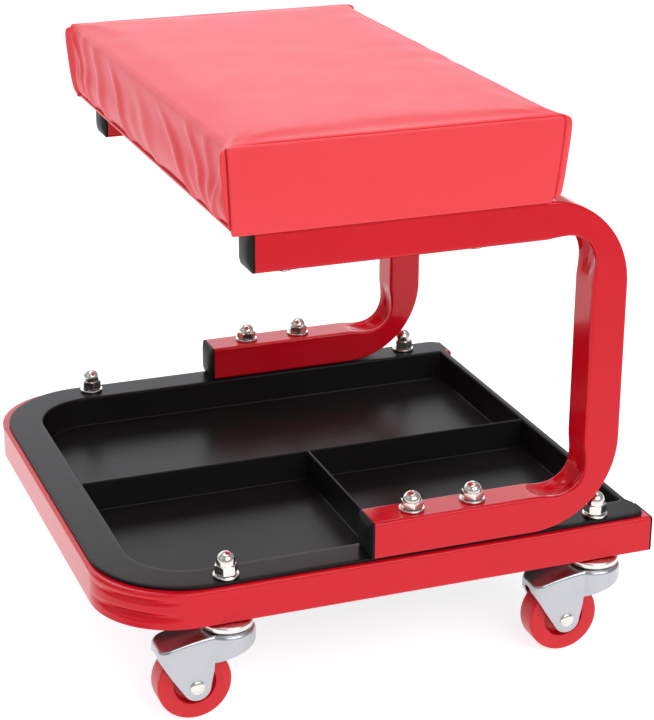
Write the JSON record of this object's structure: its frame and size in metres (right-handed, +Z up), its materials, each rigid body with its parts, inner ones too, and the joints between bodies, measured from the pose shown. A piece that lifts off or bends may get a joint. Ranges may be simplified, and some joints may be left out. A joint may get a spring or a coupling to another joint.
{
  "type": "rolling creeper seat",
  "caption": "Low rolling mechanic's seat: padded seat on two C-shaped tube frames over a divided tool tray on swivel casters.",
  "frame": {"origin": "on the floor, at the middle of the whole object's box", "axes": "+X from the closed front of the base to its open rear, +Y to the right of someone who sits facing the front, +Z up"},
  "size_m": [0.372, 0.368, 0.374],
  "materials": {
    "red_paint": "gloss powder coat",
    "red_vinyl": "satin vinyl upholstery",
    "red_wheel": "satin polyurethane",
    "black_plastic": "satin moulded",
    "zinc": "bright zinc plate",
    "zinc_sheet": "satin zinc plate",
    "plywood": "raw",
    "foam": "open cell foam"
  },
  "bodies": {
    "chassis": {"base_frame": "red_paint", "base_plug_left": "black_plastic", "base_plug_right": "black_plastic", "tray": "black_plastic", "seat_frame_left": "red_paint", "seat_frame_right": "red_paint", "lower_leg_plug_left": "black_plastic", "lower_leg_plug_right": "black_plastic", "upper_leg_plug_left": "black_plastic", "upper_leg_plug_right": "black_plastic", "seat_cover": "red_vinyl", "seat_board": "plywood", "seat_foam": "foam", "leg_bolt_front_left": "zinc", "leg_washer_front_left": "zinc", "leg_nut_front_left": "zinc", "seat_screw_front_left": "zinc", "caster_stem_front_left": "zinc", "caster_race_front_left": "zinc", "caster_washer_front_left": "zinc", "caster_nut_front_left": "zinc", "leg_bolt_front_right": "zinc", "leg_washer_front_right": "zinc", "leg_nut_front_right": "zinc", "seat_screw_front_right": "zinc", "caster_stem_front_right": "zinc", "caster_race_front_right": "zinc", "caster_washer_front_right": "zinc", "caster_nut_front_right": "zinc", "leg_bolt_rear_left": "zinc", "leg_washer_rear_left": "zinc", "leg_nut_rear_left": "zinc", "seat_screw_rear_left": "zinc", "caster_stem_rear_left": "zinc", "caster_race_rear_left": "zinc", "caster_washer_rear_left": "zinc", "caster_nut_rear_left": "zinc", "leg_bolt_rear_right": "zinc", "leg_washer_rear_right": "zinc", "leg_nut_rear_right": "zinc", "seat_screw_rear_right": "zinc", "caster_stem_rear_right": "zinc", "caster_race_rear_right": "zinc", "caster_washer_rear_right": "zinc", "caster_nut_rear_right": "zinc"},
    "fork_front_left": {"caster_yoke_front_left": "zinc_sheet", "caster_axle_front_left": "zinc"},
    "wheel_front_left": {"caster_wheel_front_left": "red_wheel"},
    "fork_front_right": {"caster_yoke_front_right": "zinc_sheet", "caster_axle_front_right": "zinc"},
    "wheel_front_right": {"caster_wheel_front_right": "red_wheel"},
    "fork_rear_left": {"caster_yoke_rear_left": "zinc_sheet", "caster_axle_rear_left": "zinc"},
    "wheel_rear_left": {"caster_wheel_rear_left": "red_wheel"},
    "fork_rear_right": {"caster_yoke_rear_right": "zinc_sheet", "caster_axle_rear_right": "zinc"},
    "wheel_rear_right": {"caster_wheel_rear_right": "red_wheel"}
  },
  "joints": [
    {"name": "swivel_front_left", "type": "hinge", "parent": "chassis", "child": "fork_front_left", "pos_m": [-0.109, -0.1655, 0.065], "axis": [0, 0, 1], "continuous": true},
    {"name": "roll_front_left", "type": "hinge", "parent": "fork_front_left", "child": "wheel_front_left", "pos_m": [-0.133, -0.1655, 0.0245], "axis": [0, 1, 0], "continuous": true},
    {"name": "swivel_front_right", "type": "hinge", "parent": "chassis", "child": "fork_front_right", "pos_m": [-0.109, 0.1655, 0.065], "axis": [0, 0, 1], "continuous": true},
    {"name": "roll_front_right", "type": "hinge", "parent": "fork_front_right", "child": "wheel_front_right", "pos_m": [-0.133, 0.1655, 0.0245], "axis": [0, 1, 0], "continuous": true},
    {"name": "swivel_rear_left", "type": "hinge", "parent": "chassis", "child": "fork_rear_left", "pos_m": [0.1484, -0.1655, 0.065], "axis": [0, 0, 1], "continuous": true},
    {"name": "roll_rear_left", "type": "hinge", "parent": "fork_rear_left", "child": "wheel_rear_left", "pos_m": [0.1244, -0.1655, 0.0245], "axis": [0, 1, 0], "continuous": true},
    {"name": "swivel_rear_right", "type": "hinge", "parent": "chassis", "child": "fork_rear_right", "pos_m": [0.1484, 0.1655, 0.065], "axis": [0, 0, 1], "continuous": true},
    {"name": "roll_rear_right", "type": "hinge", "parent": "fork_rear_right", "child": "wheel_rear_right", "pos_m": [0.1244, 0.1655, 0.0245], "axis": [0, 1, 0], "continuous": true}
  ]
}
